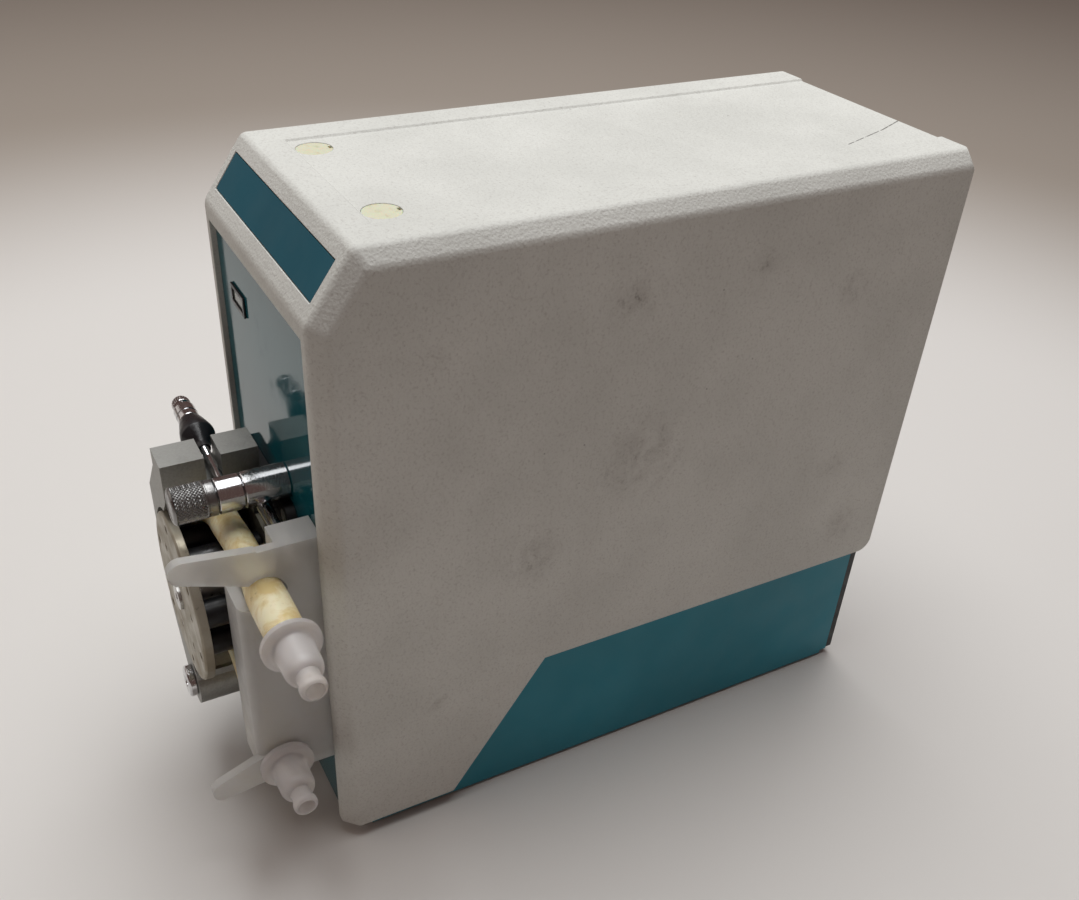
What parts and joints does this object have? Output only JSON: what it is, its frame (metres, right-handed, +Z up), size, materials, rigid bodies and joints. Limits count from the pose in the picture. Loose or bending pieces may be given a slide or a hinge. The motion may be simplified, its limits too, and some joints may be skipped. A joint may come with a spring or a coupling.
{
  "type": "peristaltic pump",
  "caption": "Bench roller pump: boxy motor housing with an open roller head, pressure arm, tube cassette and clamp on its front.",
  "frame": {"origin": "centre of the bounding box's underside, on the table under the housing's front half", "axes": "+X across the width towards the hose connectors, +Y from the front to the back, +Z up"},
  "size_m": [0.1556, 0.2978, 0.244],
  "materials": {
    "housing_grey": "fine textured warm grey paint",
    "teal_paint": "satin dark teal paint",
    "teal_gloss": "glossy dark teal panel",
    "black_plastic": "satin black",
    "black_metal": "satin black coated metal",
    "black_rubber": "matt",
    "window_glass": "dark display lens",
    "zinc_steel": "zinc plated",
    "dark_steel": "dark machined steel",
    "steel_shaft": "ground steel",
    "bright_chrome": "polished",
    "matt_aluminium": "matt, bead blasted",
    "milky_plastic": "milky translucent",
    "clear_plastic": "frosted translucent",
    "tube_cream": "translucent cream elastomer",
    "plug_cream": "cream",
    "red_plastic": "dark red",
    "brass_stud": "turned brass",
    "copper_coil": "taped winding",
    "green_board": "circuit board"
  },
  "bodies": {
    "pump_body": {"housing_shell": "housing_grey", "nameplate": "teal_paint", "screw_plugs": "plug_cream", "cover_screws": "zinc_steel", "front_panel": "teal_gloss", "display_bezel": "black_plastic", "display_window": "window_glass", "inner_frame": "zinc_steel", "chassis_base": "teal_paint", "rubber_feet": "black_rubber", "rear_panel": "black_metal", "rear_screws": "zinc_steel", "mains_inlet": "black_plastic", "inlet_pins": "steel_shaft", "switch_housing": "black_plastic", "remote_socket": "steel_shaft", "gearbox": "zinc_steel", "drive_motor": "dark_steel", "motor_screws": "steel_shaft", "transformer_core": "dark_steel", "transformer_coil": "copper_coil", "control_board": "green_board", "board_standoffs": "brass_stud", "board_parts": "black_plastic", "head_plate": "black_metal", "head_screws": "zinc_steel", "shaft_bearing": "steel_shaft", "pivot_pin": "bright_chrome", "clamp_post": "bright_chrome", "tube_cassette": "milky_plastic", "guide_pins": "bright_chrome", "pump_tube": "tube_cream", "upper_connector": "clear_plastic", "lower_connector": "clear_plastic"},
    "rotor": {"drive_shaft": "steel_shaft", "rotor_hub": "dark_steel", "front_disc": "matt_aluminium", "rear_disc": "matt_aluminium", "roller_pins": "steel_shaft", "disc_screw": "zinc_steel"},
    "arm": {"pressure_arm": "matt_aluminium"},
    "bolt": {"swing_bolt": "bright_chrome"},
    "collar": {"pressure_collar": "black_plastic"},
    "nut": {"thumb_nut": "bright_chrome"},
    "post_cap": {"post_knob": "dark_steel"},
    "rocker": {"power_rocker": "red_plastic"},
    "drawer": {"fuse_drawer": "black_plastic"},
    "roller_1": {"roller_1": "black_plastic"},
    "roller_2": {"roller_2": "black_plastic"},
    "roller_3": {"roller_3": "black_plastic"},
    "roller_4": {"roller_4": "black_plastic"},
    "roller_5": {"roller_5": "black_plastic"},
    "roller_6": {"roller_6": "black_plastic"}
  },
  "joints": [
    {"name": "rotor_spin", "type": "hinge", "parent": "pump_body", "child": "rotor", "pos_m": [-0.02335, -0.11955, 0.0925], "axis": [0, 1, 0], "continuous": true},
    {"name": "roller_1_spin", "type": "hinge", "parent": "rotor", "child": "roller_1", "pos_m": [-0.00477, -0.11955, 0.09645], "axis": [0, 1, 0], "continuous": true},
    {"name": "roller_2_spin", "type": "hinge", "parent": "rotor", "child": "roller_2", "pos_m": [-0.01748, -0.11955, 0.11057], "axis": [0, 1, 0], "continuous": true},
    {"name": "roller_3_spin", "type": "hinge", "parent": "rotor", "child": "roller_3", "pos_m": [-0.03606, -0.11955, 0.10662], "axis": [0, 1, 0], "continuous": true},
    {"name": "roller_4_spin", "type": "hinge", "parent": "rotor", "child": "roller_4", "pos_m": [-0.04194, -0.11955, 0.08855], "axis": [0, 1, 0], "continuous": true},
    {"name": "roller_5_spin", "type": "hinge", "parent": "rotor", "child": "roller_5", "pos_m": [-0.02922, -0.11955, 0.07443], "axis": [0, 1, 0], "continuous": true},
    {"name": "roller_6_spin", "type": "hinge", "parent": "rotor", "child": "roller_6", "pos_m": [-0.01064, -0.11955, 0.07838], "axis": [0, 1, 0], "continuous": true},
    {"name": "bolt_swing", "type": "hinge", "parent": "pump_body", "child": "bolt", "pos_m": [-0.00735, -0.11955, 0.144], "axis": [0, 1, 0], "range_deg": [0, 150]},
    {"name": "collar_slide", "type": "slide", "parent": "bolt", "child": "collar", "axis": [-1, 0, 0], "range_m": [0, 0.0072]},
    {"name": "nut_turn", "type": "hinge", "parent": "collar", "child": "nut", "pos_m": [-0.06435, -0.11955, 0.144], "axis": [-1, 0, 0], "range_deg": [0, 2520]},
    {"name": "arm_swing", "type": "hinge", "parent": "pump_body", "child": "arm", "pos_m": [-0.03135, -0.11955, 0.042], "axis": [0, -1, 0], "range_deg": [0, 3.93]},
    {"name": "post_knob_turn", "type": "hinge", "parent": "pump_body", "child": "post_cap", "pos_m": [-0.00735, -0.13305, 0.144], "axis": [0, -1, 0], "range_deg": [0, 180]},
    {"name": "power_rocker_tilt", "type": "hinge", "parent": "pump_body", "child": "rocker", "pos_m": [-0.02135, 0.14245, 0.04], "axis": [-1, 0, 0], "range_deg": [0, 18]},
    {"name": "fuse_drawer_slide", "type": "slide", "parent": "pump_body", "child": "drawer", "axis": [0, 1, 0], "range_m": [0, 0.014]}
  ],
  "couplings": [
    {"joint": "roller_1_spin", "follows": "rotor_spin", "ratio": -4.4545},
    {"joint": "roller_2_spin", "follows": "rotor_spin", "ratio": -4.4545},
    {"joint": "roller_3_spin", "follows": "rotor_spin", "ratio": -4.4545},
    {"joint": "roller_4_spin", "follows": "rotor_spin", "ratio": -4.4545},
    {"joint": "roller_5_spin", "follows": "rotor_spin", "ratio": -4.4545},
    {"joint": "roller_6_spin", "follows": "rotor_spin", "ratio": -4.4545},
    {"joint": "collar_slide", "follows": "arm_swing", "m_per_rad": 0.102},
    {"joint": "nut_turn", "follows": "arm_swing", "ratio": 640.88}
  ]
}
